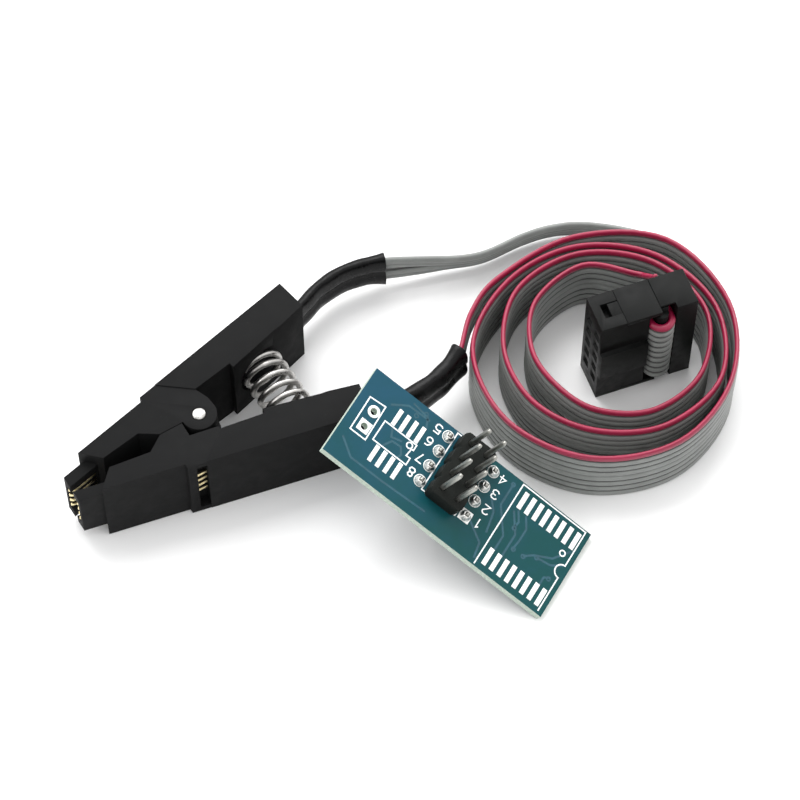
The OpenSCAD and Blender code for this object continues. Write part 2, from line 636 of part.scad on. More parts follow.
pad_t = 0.06;
terminal_d = 1.75;          // round pads of the pins; the square ones are as wide
wide_pad = [0.68, 2.7];     // pads of the wide chip
wide_x = 13.1;
wide_y = [-0.7, -10.3];
narrow_pad = [0.62, 2.6];   // pads of the narrow chip
narrow_x = -7.1;
narrow_y = [-2.4, -8.6];
module pad_box(x, y, size) translate([x - size[0] / 2, y - size[1] / 2, 0]) cube([size[0], size[1], pad_t]);
module pad_ring(square_pad) {
    difference() {
        if (square_pad) pad_box(0, 0, [terminal_d, terminal_d]);
        else cylinder(d = terminal_d, h = pad_t, $fn = 32);
        translate([0, 0, -cut]) cylinder(d = drill, h = 2 * cut, $fn = 32);
    }
}
module adapter_pads() {
    color([0.8, 0.82, 0.8]) on_board() {
        for (i = [0 : 7], y = wide_y) pad_box(wide_x + i * lead_pitch, y, wide_pad);
        for (i = [0 : 3], y = narrow_y) pad_box(narrow_x + i * lead_pitch, y, narrow_pad);
        for (x = columns, j = [0 : pins - 1])
            translate([x, pin_y(j), 0]) pad_ring(x > 0 && j == pins - 1);
        translate([supply_x, supply_y[0], 0]) pad_ring(false);
        translate([supply_x, supply_y[1], 0]) pad_ring(true);
    }
}
module header_bar() {
    color(black) on_board() translate([header_columns[0], 0, 0]) pin_bar(2);
}
module header_posts() {
    color(steel) on_board() for (x = header_columns, j = [0 : pins - 1])
        translate([x, pin_y(j), 0]) pin(-board_t - 1, bar_h + post_l);
}
module header_solder() {
    color(steel) on_board() for (x = header_columns, j = [0 : pins - 1])
        translate([x, pin_y(j), 0]) fillet_cone(-board_t, false);
}
module leg_bars() {
    color(black) on_board() for (x = columns)
        translate([x, 0, -board_t - bar_h]) pin_bar(1);
}
module leg_posts() {
    color(steel) on_board() for (x = columns, j = [0 : pins - 1])
        translate([x, pin_y(j), 0]) pin(-board_t - leg_drop, 1);
}
module leg_solder() {
    color(steel) on_board() for (x = columns, j = [0 : pins - 1])
        translate([x, pin_y(j), 0]) fillet_cone(pad_t, true);
}

// ---- clip: the named pieces ---------------------------------------------------------

module lower() mirror([0, 1, 0]) children();
lower_way_up = mirrored(lower_sleeve_way);

module lower_jaw() { color(black) lower() jaw(false); }
module upper_jaw() { color(black) jaw(true); }
module lower_cover() { color(black) lower() cover(lower_way_up); }
module upper_cover() { color(black) cover(upper_sleeve_way); }
module lower_contacts() { color(gold) lower() contact_row(); }
module upper_contacts() { color(gold) contact_row(); }
module lower_wires() { color(grey) lower() wire_row(lower_way_up[0]); }
module upper_wires() { color(grey) wire_row(upper_sleeve_way[0]); }
module lower_solder() { color(steel) lower() solder_row(); }
module upper_solder() { color(steel) solder_row(); }
module lower_sleeve() {
    color(black) sweep(smooth(lower_route(lead_high_z), fine), sleeve_section(),
        0, lower_sleeve_end * fine);
}
module upper_sleeve() {
    color(black) sweep(smooth(upper_route, fine), sleeve_section(), 0, upper_sleeve_end * fine);
}
module lower_lead() {
    color(grey) sweep(smooth(lower_route(lead_high_z), fine), flat_section(band_h(4), wire_d, 0.3),
        lower_sleeve_end * fine, lower_lead_end * fine);
}
module upper_lead() {
    color(grey) sweep(smooth(upper_route, 1), flat_section(band_h(4), wire_d, 0.3),
        upper_sleeve_end, len(upper_route) - 2);
}
module ribbon_cable() {
    way = smooth(lower_route(ribbon_z), fine);
    color(grey) sweep(way, flat_section(band_h(strands), wire_d, 0.3),
        lower_lead_end * fine, len(way) - 1);
}

module pivot_pin() {
    color(steel) cylinder(d = pin_d, h = jaw_z1 + 0.1, $fn = round_fn);
}

// Compression spring between the two seats, its end turns closed
module spring() {
    length = 2 * seat_y - spring_wire;
    r = (spring_d - spring_wire) / 2;
    steps = 16;
    n = floor(spring_turns * steps);
    sides = 8;
    function along(t) = let (e = 1 / spring_turns) t < e ? t / e * spring_wire
        : t > 1 - e ? length - (1 - t) / e * spring_wire
        : spring_wire + (length - 2 * spring_wire) * (t - e) / (1 - 2 * e);
    points = [for (i = [0 : n], k = [0 : sides - 1])
        let (a = 360 * i / steps, b = 360 * k / sides, q = r + spring_wire / 2 * cos(b))
        [spring_x + q * cos(a), spring_wire / 2 - seat_y + along(i / n)
        + spring_wire / 2 * sin(b), mid_z + q * sin(a)]];
    faces = [for (i = [0 : n - 1], k = [0 : sides - 1])
        [i * sides + k, (i + 1) * sides + k, (i + 1) * sides + (k + 1) % sides, i * sides + (k + 1) % sides]];
    ends = [[for (k = [0 : sides - 1]) k], [for (k = [sides - 1 : -1 : 0]) n * sides + k]];
    color(steel) polyhedron(points, concat(faces, ends), convexity = 10);
}

lower_jaw();
lower_cover();
lower_contacts();
lower_solder();
lower_wires();
lower_sleeve();
lower_lead();
upper_jaw();
upper_cover();
upper_contacts();
upper_solder();
upper_wires();
upper_sleeve();
upper_lead();
pivot_pin();
spring();
ribbon_cable();
ribbon_fold();
socket_body();
socket_cover();
strain_relief();
socket_contacts();
adapter_board();
adapter_pads();
header_bar();
header_posts();
header_solder();
leg_bars();
leg_posts();
leg_solder();
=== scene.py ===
"""Looks of a sprung test clip with its flat cable, socket and adapter board.

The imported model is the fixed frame: its pieces keep their shapes and places. This script
rounds their edges, gives them their finishes and replaces the spring, the shrink sleeves
and the cable with finer ones. Everything is in metres, in the frame's own axes.
"""
import math

import bmesh
import bpy
from mathutils import Matrix, Vector, noise


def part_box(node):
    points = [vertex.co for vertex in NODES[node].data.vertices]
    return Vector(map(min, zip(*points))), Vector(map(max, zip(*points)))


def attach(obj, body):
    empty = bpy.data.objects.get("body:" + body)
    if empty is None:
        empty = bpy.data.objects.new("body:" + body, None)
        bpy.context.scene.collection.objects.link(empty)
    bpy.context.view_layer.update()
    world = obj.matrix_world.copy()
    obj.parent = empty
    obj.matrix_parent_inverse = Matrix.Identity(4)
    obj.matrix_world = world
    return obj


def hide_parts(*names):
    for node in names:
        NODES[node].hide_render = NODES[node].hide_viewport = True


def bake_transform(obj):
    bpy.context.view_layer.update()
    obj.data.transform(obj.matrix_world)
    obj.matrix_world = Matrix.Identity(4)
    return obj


bl_info = {
    "name": "Test clip set",
    "version": (1, 0, 0),
    "blender": (4, 5, 0),
    "location": "View3D > Sidebar > Test clip",
    "description": "Dresses a sprung test clip, its coiled cable and its adapter board",
    "category": "Object",
}

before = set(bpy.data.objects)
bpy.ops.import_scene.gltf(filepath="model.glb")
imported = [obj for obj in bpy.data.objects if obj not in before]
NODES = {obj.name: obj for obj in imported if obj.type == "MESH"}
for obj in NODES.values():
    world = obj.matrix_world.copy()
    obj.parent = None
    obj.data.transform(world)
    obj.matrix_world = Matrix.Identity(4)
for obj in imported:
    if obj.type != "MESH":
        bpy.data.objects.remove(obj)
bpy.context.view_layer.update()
MM = 0.001

# ---- the cable's route (millimetres) -----------------------------------------------------
#
# The coil is the one that the frame's own solids follow. The sleeves, the upper lead and the
# way into the socket are drawn a little differently here.

WIRE_PITCH = 1.27
WIRE_D = 0.95
TABLE_GAP = 0.1
STRANDS = 8
LEAD_STRANDS = STRANDS // 2         # conductors in each of the two leads
LEAD_MIDDLE = 1.5                   # middle of a lead, counted in conductors
ROUTE_STEPS = 8                     # points of a conductor between two points of its route
LOW_Z = TABLE_GAP + WIRE_D / 2 + LEAD_MIDDLE * WIRE_PITCH
HIGH_Z = LOW_Z + 4 * WIRE_PITCH
UPPER_SLEEVE = [
    (18, 9, 5), (20, 9.75, 4.8), (22.5, 10.8, 4.75), (25.5, 11.9, 4.7), (29, 12.4, 4.6),
    (32.5, 12, 4.5), (35.6, 11, 4.3)]
LOWER_SLEEVE = [
    (18, -9, 6.3), (20, -9.6, 6.4), (22.5, -10.2, 6.6), (26, -10.6, 7), (29, -10.6, 7.3),
    (32, -10, 7.5), (35.2, -8.7, 7.6)]
UPPER_LEAD = [
    (42.6, 8.2, 3.5), (48.4, 6.2, 2.9), (54.8, 5.7, 2.9), (59.1, 4.8, 2.9),
    (63.1, 2.9, 2.7), (67.5, -1.1, 2.5), (70, -5, 2.5), (71.4, -11.5, 2.5)]
LEAD_BEND = (40.1, -4.1)
COIL_AT = (52.5, -18)
COIL_START = 150                    # degrees
COIL_STEP = 40
COIL_R = [                          # distance to the coil's middle at each step
    19.2, 17.7, 17.8, 19.3, 18.4, 17.7, 17.8, 17.8, 17.9,
    17.8, 16.4, 16.2, 16.3, 16.5, 16.3, 14.8, 13.5, 13.3,
    13.6, 14.6, 15, 15.1, 15, 13.6, 12, 10.3, 9.2,
    9.9, 11.5, 12.9]
MERGE = 4                           # the upper lead joins at this point of the coil
COIL_RISE = [0.0, 0.2]
INLET_WAY = [(62.3, -10.8, 0.2), (63.0, -12.3, 0.8), (63.0, -13.8, 1.8), (62.4, -15.0, 3.3)]
RELIEF_OUT = 0.9                    # the cable runs straight into the relief from here
# the upper lead leans over, and its two pairs part, where it leaves its sleeve
LEAN = math.radians(22)
LEAN_SIDE = Vector((-0.53, -0.85))
PAIR_GAP = 0.62
GRIP = 0.12                         # a sleeve's mouth presses the conductors together

# ---- the clip's contacts (millimetres): where a finger lies on its comb, in plan -------

CLIP_MID = 6.2
FINGER_WAY = [(-19.05, 0.96), (-18.7, 0.83), (-18.3, 0.80), (-16.7, 1.16), (-15.0, 1.56)]
FINGER_T = 0.14
FINGER_W = 0.34

# ---- the socket (millimetres), in its own axes: +X into it, +Z along its row of holes ----

SOCKET_AT = (50.95, -17.1)
SOCKET_TURN = math.radians(-12)
SOCKET_L = 17.0
SOCKET_T = 5.6
SOCKET_DEPTH = 6.9
CLAMP_T = 1.95
LAYER = 1.0
FOLD_Y = 0.7 - SOCKET_T / 2
FOLD_X0 = SOCKET_DEPTH + LAYER / 2
FOLD_R = (CLAMP_T + LAYER) / 2
FOLD_X1 = FOLD_X0 + 2 * FOLD_R
CABLE_WAYS = 10

# ---- the adapter board (millimetres), in its own axes ------------------------------------

BOARD_END = 23.4
BOARD_T = 1.2
LEG_DROP = 7.54
DIP_SPAN = 7.62
POST_W = 0.64
BOARD_YAW = math.radians(-61.7)
BOARD_TILT = math.atan(LEG_DROP / (BOARD_END - DIP_SPAN - POST_W / 2))
BOARD_AT = (
    26.29, -19.94,
    BOARD_END * math.sin(BOARD_TILT) + BOARD_T * math.cos(BOARD_TILT))
BOARD_MATRIX = (
    Matrix.Translation(BOARD_AT)
    @ Matrix.Rotation(BOARD_YAW, 4, "Z")
    @ Matrix.Rotation(BOARD_TILT, 4, "Y"))
BOARD_NORMAL = (BOARD_MATRIX.to_3x3() @ Vector((0, 0, 1))).normalized()


# ---- sizes and colours that a user would change -----------------------------------------

def colour(name, description, value):
    """A colour that the panel shows, opaque."""
    return bpy.props.FloatVectorProperty(
        name=name, description=description, subtype="COLOR", size=4,
        min=0.0, max=1.0, default=(*value, 1.0))


def length(name, description, value):
    """A length that the panel shows, in metres."""
    return bpy.props.FloatProperty(
        name=name, description=description, default=value, unit="LENGTH", precision=5)


class ClipLook(bpy.types.PropertyGroup):
    plastic: colour("Plastic", "Black of the moulded jaws and covers", (0.0072, 0.0073, 0.0075))
    sleeve: colour("Sleeve", "Black of the shrink sleeves", (0.002, 0.002, 0.0022))
    steel: colour("Steel", "Wire of the spring and the pivot pin", (0.52, 0.51, 0.49))
    gold: colour("Gold", "Plating of the contacts", (0.93, 0.80, 0.47))
    edge: length("Edge radius", "Rounding of the moulded edges", 0.00013)
    wire: length("Spring wire", "Diameter of the spring's wire", 0.00088)
    coil: length("Spring diameter", "Outer diameter of the spring", 0.0065)


class CableLook(bpy.types.PropertyGroup):
    grey: colour("Grey", "Insulation of the cable", (0.225, 0.235, 0.226))
    red: colour("Edge colour", "Insulation of the marked edge conductor", (0.28, 0.005, 0.042))
    strand_h: length("Conductor height", "Height of a conductor in the cable", 0.00133)
    strand_t: length("Conductor thickness", "Thickness of the cable", 0.00082)
    edge_h: length("Edge conductor height", "Height of the marked edge conductor", 0.00108)
    edge_t: length("Edge conductor thickness", "Thickness of the marked edge conductor", 0.00066)


class BoardLook(bpy.types.PropertyGroup):
    # The near end's bluer, lighter mask colour is painted sky reflection; the mask fades to teal
    # towards the far end.
    mask_near_with_sheen: colour(
        "Mask, near end", "Solder mask where the board is bluest", (0.0085, 0.064, 0.104))
    mask_teal: colour(
        "Mask, far end", "Solder mask where the board is greenest", (0.003, 0.057, 0.060))
    trace: colour("Traces", "Solder mask over copper", (0.012, 0.085, 0.120))
    laminate: colour("Laminate", "Bare edge of the board", (0.50, 0.58, 0.50))
    ink: colour("Ink", "Printed outlines and numbers", (0.93, 0.95, 0.95))
    # Tinned pads: their own pale colour plus painted reflection of the white surroundings, so
    # nearly white
    tin_and_reflection: colour("Tin", "Tinned pads", (0.93, 0.94, 0.92))
    ink_width: length("Line width", "Width of the printed lines", 0.00018)


class StageLook(bpy.types.PropertyGroup):
    floor: colour("Floor", "Seamless white table", (0.86, 0.86, 0.86))
    key: bpy.props.FloatProperty(
        name="Key light", description="Power of the large soft light", default=1.45)
    fill: bpy.props.FloatProperty(
        name="Fill light", description="Strength of the light all round", default=1.55)
    focal: bpy.props.FloatProperty(
        name="Focal length", description="Of the camera's lens",
        default=141.3, unit="CAMERA")


# ---- shader helpers ----------------------------------------------------------------------

class Net:
    """A node tree under construction."""

    def __init__(self, tree):
        self.tree = tree

    def node(self, kind, **settings):
        made = self.tree.nodes.new(kind)
        for key, value in settings.items():
            setattr(made, key, value)
        return made

    def link(self, out, into):
        self.tree.links.new(out, into)

    def fill(self, socket, value):
        if isinstance(value, bpy.types.NodeSocket):
            self.link(value, socket)
        else:
            socket.default_value = value

    def math(self, operation, a, b=0.0, clamp=False):
        made = self.node("ShaderNodeMath", operation=operation, use_clamp=clamp)
        self.fill(made.inputs[0], a)
        self.fill(made.inputs[1], b)
        return made.outputs[0]

    def ramp(self, value, low, high, to_low=0.0, to_high=1.0):
        made = self.node("ShaderNodeMapRange")
        for socket, item in zip(made.inputs, (value, low, high, to_low, to_high)):
            self.fill(socket, item)
        return made.outputs[0]

    def mix(self, factor, a, b):
        made = self.node("ShaderNodeMix", data_type="RGBA")
        self.fill(made.inputs[0], factor)
        self.fill(made.inputs[6], a)
        self.fill(made.inputs[7], b)
        return made.outputs[2]

    def noise(self, where, scale, detail=3.0, rough=0.5):
        made = self.node("ShaderNodeTexNoise")
        self.fill(made.inputs["Vector"], where)
        self.fill(made.inputs["Scale"], scale)
        made.inputs["Detail"].default_value = detail
        made.inputs["Roughness"].default_value = rough
        return made.outputs["Fac"]

    def place(self):
        return self.node("ShaderNodeTexCoord").outputs["Object"]


def effect(name, inputs, outputs):
    """An empty shader node group with those float inputs and outputs."""
    tree = bpy.data.node_groups.new(name, "ShaderNodeTree")
    for label, value in inputs:
        socket = tree.interface.new_socket(label, in_out="INPUT", socket_type="NodeSocketFloat")
        socket.default_value = value
    for label in outputs:
        tree.interface.new_socket(label, in_out="OUTPUT", socket_type="NodeSocketFloat")
    net = Net(tree)
    return net, net.node("NodeGroupInput").outputs, net.node("NodeGroupOutput").inputs


def grain_group():
    """Fine mould texture and slow mottling, for every moulded or extruded plastic."""
    name = "Moulded grain"
    if name in bpy.data.node_groups:
        return bpy.data.node_groups[name]
    net, given, result = effect(name, [("Fine", 9000.0), ("Broad", 500.0)], ["Height", "Mottle"])
    here = net.place()
    net.link(net.noise(here, given["Fine"], 2.0), result["Height"])
    net.link(net.ramp(net.noise(here, given["Broad"], 4.0, 0.6), 0.35, 0.65), result["Mottle"])
    return bpy.data.node_groups[name]


def scuff_group():
    """Short pale scratches and specks of dust left by handling."""
    name = "Handling marks"
    if name in bpy.data.node_groups:
        return bpy.data.node_groups[name]
    net, given, result = effect(name, [("Scale", 900.0), ("Amount", 0.5)], ["Mask"])
    here = net.place()
    stretch = net.node("ShaderNodeMapping")
    stretch.inputs["Scale"].default_value = (1.0, 5.0, 1.6)
    stretch.inputs["Rotation"].default_value = (0.3, 0.5, 0.7)
    net.link(here, stretch.inputs["Vector"])
    lines = net.ramp(net.noise(stretch.outputs[0], given["Scale"], 3.0, 0.7), 0.66, 0.74)
    specks = net.node("ShaderNodeTexVoronoi")
    net.link(here, specks.inputs["Vector"])
    specks.inputs["Scale"].default_value = 900.0
    dots = net.ramp(specks.outputs["Distance"], 0.05, 0.12, 1.0, 0.0)
    some = net.ramp(net.noise(here, 260.0, 2.0), 0.52, 0.62)
    both = net.math("MAXIMUM", lines, net.math("MULTIPLY", dots, some))
    net.link(net.math("MULTIPLY", both, given["Amount"], clamp=True), result["Mask"])
    return bpy.data.node_groups[name]


def placed(net, group, **values):
    """Puts a group into a material with its own values. Returns the group's outputs."""
    made = net.node("ShaderNodeGroup", node_tree=group)
    for key, value in values.items():
        made.inputs[key].default_value = value
    return made.outputs


def surface(name):
    """A new material: its net, its Principled shader and itself."""
    made = bpy.data.materials.new(name)
    made.use_nodes = True
    net = Net(made.node_tree)
    return net, made.node_tree.nodes["Principled BSDF"], made


def bump(net, shader, height, strength, distance):
    """Turns a height into the shader's normal."""
    made = net.node("ShaderNodeBump")
    made.inputs["Strength"].default_value = strength
    made.inputs["Distance"].default_value = distance
    net.link(height, made.inputs["Height"])
    net.link(made.outputs[0], shader.inputs["Normal"])


def lighter(value, by):
    """A colour times a number, opaque."""
    return tuple(min(1.0, c * by) for c in value[:3]) + (1.0,)


def moulded(
        name, base, rough=0.5, scuffs=0.35, fine=9000.0, broad=500.0, strength=0.25, gloss=0.10):
    """Moulded plastic: fine grain, uneven sheen and a little dust."""
    net, shader, made = surface(name)
    shader.inputs["Specular IOR Level"].default_value = gloss
    grain = placed(net, grain_group(), Fine=fine, Broad=broad)
    marks = placed(net, scuff_group(), Amount=scuffs)
    body = net.mix(grain["Mottle"], lighter(base, 0.86), lighter(base, 1.14))
    net.link(net.mix(marks["Mask"], body, lighter(base, 3.2)), shader.inputs["Base Color"])
    net.link(
        net.ramp(grain["Mottle"], 0.0, 1.0, rough - 0.06, rough + 0.07),
        shader.inputs["Roughness"])
    bump(net, shader, grain["Height"], strength, 0.00002)
    return made


def metal(name, base, rough=0.25, scale=900.0, stretch=(1, 1, 1), tarnish=0.6):
    """Metal with drawing marks and a slightly uneven film."""
    net, shader, made = surface(name)
    here = net.node("ShaderNodeMapping")
    here.inputs["Scale"].default_value = stretch
    net.link(net.place(), here.inputs["Vector"])
    marks = net.noise(here.outputs[0], scale, 4.0, 0.65)
    film = placed(net, grain_group(), Fine=4000.0, Broad=900.0)
    net.link(net.mix(film["Mottle"], lighter(base, tarnish), base), shader.inputs["Base Color"])
    net.link(net.ramp(marks, 0.3, 0.7, rough * 0.7, rough * 1.4), shader.inputs["Roughness"])
    shader.inputs["Metallic"].default_value = 1.0
    bump(net, shader, marks, 0.05, 0.00001)
    return made


def speckled(name, base, scale, shade, rough):
    """A thin film that is unevenly printed or laid, down to shade times its colour."""
    net, shader, made = surface(name)
    specks = net.ramp(net.noise(net.place(), scale, 3.0), 0.3, 0.7)
    net.link(net.mix(specks, lighter(base, shade), tuple(base)), shader.inputs["Base Color"])
    shader.inputs["Roughness"].default_value = rough
    return made


def board_surface(look):
    """Solder mask on the faces, with painted sky reflection that makes its near end bluer and
    lighter, and bare laminate on the edges.
    """
    net, shader, made = surface("Solder mask")
    here = net.place()
    along = net.node("ShaderNodeVectorMath", operation="DOT_PRODUCT")
    net.link(here, along.inputs[0])
    axis = (BOARD_MATRIX.to_3x3() @ Vector((0.75, -0.66, 0))).normalized()
    along.inputs[1].default_value = axis
    start = Vector(BOARD_AT).dot(axis) * MM
    # painted reflection: a bluer, lighter sheen at the board's near end that fades to teal along
    # it, its edge broken up by mottle
    reach = net.ramp(along.outputs["Value"], start - 0.009, start + 0.012)
    grain = placed(net, grain_group(), Fine=6000.0, Broad=130.0)
    sheen_fade = net.math("ADD", reach, net.ramp(grain["Mottle"], 0.0, 1.0, -0.3, 0.3), clamp=True)
    mask = net.mix(sheen_fade, tuple(look.mask_near_with_sheen), tuple(look.mask_teal))
    facing = net.node("ShaderNodeVectorMath", operation="DOT_PRODUCT")
    net.link(net.node("ShaderNodeNewGeometry").outputs["Normal"], facing.inputs[0])
    facing.inputs[1].default_value = BOARD_NORMAL
    edge = net.math("LESS_THAN", net.math("ABSOLUTE", facing.outputs["Value"]), 0.6)
    fibres = net.noise(here, 3500.0, 4.0, 0.7)
    bare = net.mix(
        net.ramp(fibres, 0.35, 0.65), lighter(look.laminate, 0.75), tuple(look.laminate))
    net.link(net.mix(edge, mask, bare), shader.inputs["Base Color"])
    net.link(net.ramp(edge, 0.0, 1.0, 0.30, 0.75), shader.inputs["Roughness"])
    shader.inputs["Specular IOR Level"].default_value = 0.2
    bump(net, shader, grain["Height"], 0.06, 0.00001)
    return made


def cable_surface(name, base):
    """Extruded insulation: satin, with faint dirt in patches and painted shade that turns it
    nearly black in each crease between conductors.
    """
    net, shader, made = surface(name)
    grain = placed(net, grain_group(), Fine=5000.0, Broad=350.0)
    marks = placed(net, scuff_group(), Amount=0.18)
    body = net.mix(grain["Mottle"], lighter(base, 0.9), lighter(base, 1.08))
    # painted shade: darkens the insulation towards each crease between neighbouring conductors
    groove = net.node("ShaderNodeAttribute", attribute_name="groove").outputs["Fac"]
    body = net.mix(net.ramp(groove, 0.62, 0.94), body, lighter(base, 0.05))
    net.link(net.mix(marks["Mask"], body, lighter(base, 1.6)), shader.inputs["Base Color"])
    net.link(net.ramp(grain["Mottle"], 0.0, 1.0, 0.36, 0.48), shader.inputs["Roughness"])
    shader.inputs["Specular IOR Level"].default_value = 0.35
    bump(net, shader, grain["Height"], 0.08, 0.00002)
    return made


# ---- mesh helpers ------------------------------------------------------------------------

def new_piece(name, points, faces, smooth=True, metres=False):
    """A mesh object from points in millimetres."""
    mesh = bpy.data.meshes.new(name)
    scale = 1.0 if metres else MM
    mesh.from_pydata([tuple(c * scale for c in p) for p in points], [], faces)
    mesh.validate()
    fix = bmesh.new()
    fix.from_mesh(mesh)
    bmesh.ops.recalc_face_normals(fix, faces=fix.faces)
    fix.to_mesh(mesh)
    fix.free()
    mesh.polygons.foreach_set("use_smooth", [smooth] * len(mesh.polygons))
    made = bpy.data.objects.new(name, mesh)
    bpy.context.scene.collection.objects.link(made)
    return made


def joined(parts):
    """One list of points and one of faces from several."""
    points, faces = [], []
    for some, shapes in parts:
        start = len(points)
        points.extend(some)
        faces.extend([tuple(i + start for i in face) for face in shapes])
    return points, faces


def lofted(rings, closed=True):
    """Points and faces of a skin over rings of equal length, with its ends closed."""
    count = len(rings[0])
    points = [p for ring in rings for p in ring]
    faces = []
    for i in range(len(rings) - 1):
        here, there = i * count, (i + 1) * count
        for k in range(count):
            n = (k + 1) % count
            faces.append((here + k, here + n, there + n, there + k))
    if closed:
        faces.append(tuple(range(count)))
        faces.append(tuple(range(len(points) - count, len(points))))
    return points, faces


def spline(points, steps):
    """A smooth curve through points, with that many steps between neighbours."""
    points = [Vector(p) for p in points]
    last = len(points) - 1
    out = []
    for i in range(last):
        a, b, c, d = (points[max(0, min(last, i + k))] for k in (-1, 0, 1, 2))
        for k in range(steps):
            t = k / steps
            out.append(0.5 * (
                2 * b + (c - a) * t + (2 * a - 5 * b + 4 * c - d) * t * t
                + (3 * b - a - 3 * c + d) * t * t * t))
    out.append(points[last])
    return out


def across(path, i):
    """Level direction to the left of a path at its point i."""
    ahead = path[min(i + 1, len(path) - 1)] - path[max(i - 1, 0)]
    side = Vector((-ahead.y, ahead.x, 0))
    return side.normalized()


def swept(path, section, shape=None):
    """Rings of a level sweep. section is (sideways, up) pairs, and shape may change them."""
    rings = []
    for i, here in enumerate(path):
        side = across(path, i)
        ring = []
        for k, (u, v) in enumerate(section):
            if shape:
                u, v = shape(i, k, u, v)
            ring.append(here + side * u + Vector((0, 0, v)))
        rings.append(ring)
    return rings


def give(piece, material):
    """Makes this the piece's only material."""
    piece.data.materials.clear()
    piece.data.materials.append(material)


def soften(piece, radius, segments=2):
    """Rounds the sharp edges of a piece of the frame, without changing its own mesh."""
    for face in piece.data.polygons:
        face.use_smooth = True
    weld = piece.modifiers.new("Join corners", "WELD")
    weld.merge_threshold = 0.000002
    flat = piece.modifiers.new("Whole faces", "DECIMATE")
    flat.decimate_type = "DISSOLVE"
    flat.angle_limit = math.radians(1.0)
    edge = piece.modifiers.new("Round edges", "BEVEL")
    edge.width = radius
    edge.segments = segments
    edge.limit_method = "ANGLE"
    edge.angle_limit = math.radians(28)
    edge.harden_normals = True


def dress(name, material, radius=None, segments=2):
    """Finishes a piece of the frame, and rounds its edges where a radius is given."""
    piece = NODES[name]
    give(piece, material)
    if radius:
        soften(piece, radius, segments)


# ---- the cable's lines --------------------------------------------------------------------

def smooth(t):
    """Eases from 0 to 1 as t goes from 0 to 1."""
    t = min(1.0, max(0.0, t))
    return t * t * (3 - 2 * t)


def rise(i):
    """Rise of the cable at the coil's point i: none before the last points."""
    k = i - (len(COIL_R) - len(COIL_RISE))
    return COIL_RISE[k] if k >= 0 else 0.0


def coil_point(i, z):
    """Point i of the coil, counted from the clip."""
    turn = math.radians(COIL_START - COIL_STEP * i)
    return (COIL_AT[0] + COIL_R[i] * math.cos(turn), COIL_AT[1] + COIL_R[i] * math.sin(turn), z)


def at_socket(x, y, z):
    """A point of the socket's own axes, in the frame's."""
    c, s = math.cos(SOCKET_TURN), math.sin(SOCKET_TURN)
    return Vector((SOCKET_AT[0] + c * x - s * y, SOCKET_AT[1] + s * x + c * y, z))


def fold_z(k):
    """Height of way k of the socket, counted from the table."""
    return SOCKET_L / 2 + (k - (CABLE_WAYS - 1) / 2) * WIRE_PITCH


def inlet(distance):
    """Middle of the cable, that far out of the strain relief."""
    first, last = fold_z(CABLE_WAYS - STRANDS), fold_z(CABLE_WAYS - 1)
    return at_socket(FOLD_X1, SOCKET_T / 2 + distance, (first + last) / 2)


def coil_way(first, z):
    """Route points of the coil from its point first into the strain relief."""
    turns = [coil_point(i, z + rise(i)) for i in range(first, len(COIL_R))]
    ramp = [(x, y, z + up) for x, y, up in INLET_WAY]
    return turns + ramp + [inlet(RELIEF_OUT), inlet(0.0)]


def place_in_lead(k):
    """Place of conductor k in its lead, counted in conductors from the lead's middle."""
    return k % LEAD_STRANDS - LEAD_MIDDLE


def relief_shift(k):
    """What is left between a conductor's line and its place in the strain relief."""
    way = k + CABLE_WAYS - STRANDS
    return fold_z(way) - (inlet(0).z + place_in_lead(k) * WIRE_PITCH)


def strand_way(k):
    """The line of conductor k, from inside its sleeve to the strain relief."""
    upper = k < LEAD_STRANDS
    if upper:
        route = UPPER_SLEEVE[-2:] + UPPER_LEAD + coil_way(MERGE, LOW_Z)
    else:
        route = LOWER_SLEEVE[-2:] + [(*LEAD_BEND, HIGH_Z)] + coil_way(1, HIGH_Z)
    way = spline(route, ROUTE_STEPS)
    place = place_in_lead(k)
    shift = relief_shift(k)
    end = (len(INLET_WAY) + 1) * ROUTE_STEPS    # points over which the shift comes in
    out = []
    for i, p in enumerate(way):
        stop = i / ROUTE_STEPS      # how many points of the route lie behind
        up = place * WIRE_PITCH * (1 - GRIP * (1 - smooth(stop / 2.5)))
        lean = 0.0
        if upper:
            leaning = 0.4 + 0.6 * smooth((stop - 1) / 1.5)
            lean = LEAN * leaning * (1 - smooth((stop - 5) / 4))
            up += math.copysign(PAIR_GAP, place) * (1 - smooth((stop - 1) / 2.2))
        aside = LEAN_SIDE * (up * math.sin(lean))
        late = shift * smooth((i - (len(way) - 1 - end)) / end)
        out.append(Vector((p.x + aside[0], p.y + aside[1], p.z + up * math.cos(lean) + late)))
    return out[ROUTE_STEPS * 7 // 8:]   # begins just inside the sleeve's mouth


def paint_crease_shade(piece, sides, above=True):
    """Marks how near each point of a conductor is to the crease beside it, for the painted shade
    that darkens its colour there.
    """
    mark = piece.data.attributes.new("groove", "FLOAT", "POINT")
    ring = [math.sin(2 * math.pi * k / sides) for k in range(sides)]
    ring = [s if s > 0 and above else max(0.0, -s) for s in ring]
    values = [ring[i % sides] for i in range(len(piece.data.vertices))]
    mark.data.foreach_set("value", values)


def ribbed(t, h, sides=16, full=0.86):
    """Section of a conductor: thickness t, height h, with a crease towards its neighbours."""
    out = []
    for k in range(sides):
        a = 2 * math.pi * k / sides
        c, s = math.cos(a), math.sin(a)
        out.append((t / 2 * math.copysign(abs(c) ** full, c), h / 2 * math.copysign(abs(s), s)))
    return out


# ---- operators: one for each piece or group of like pieces ------------------------------

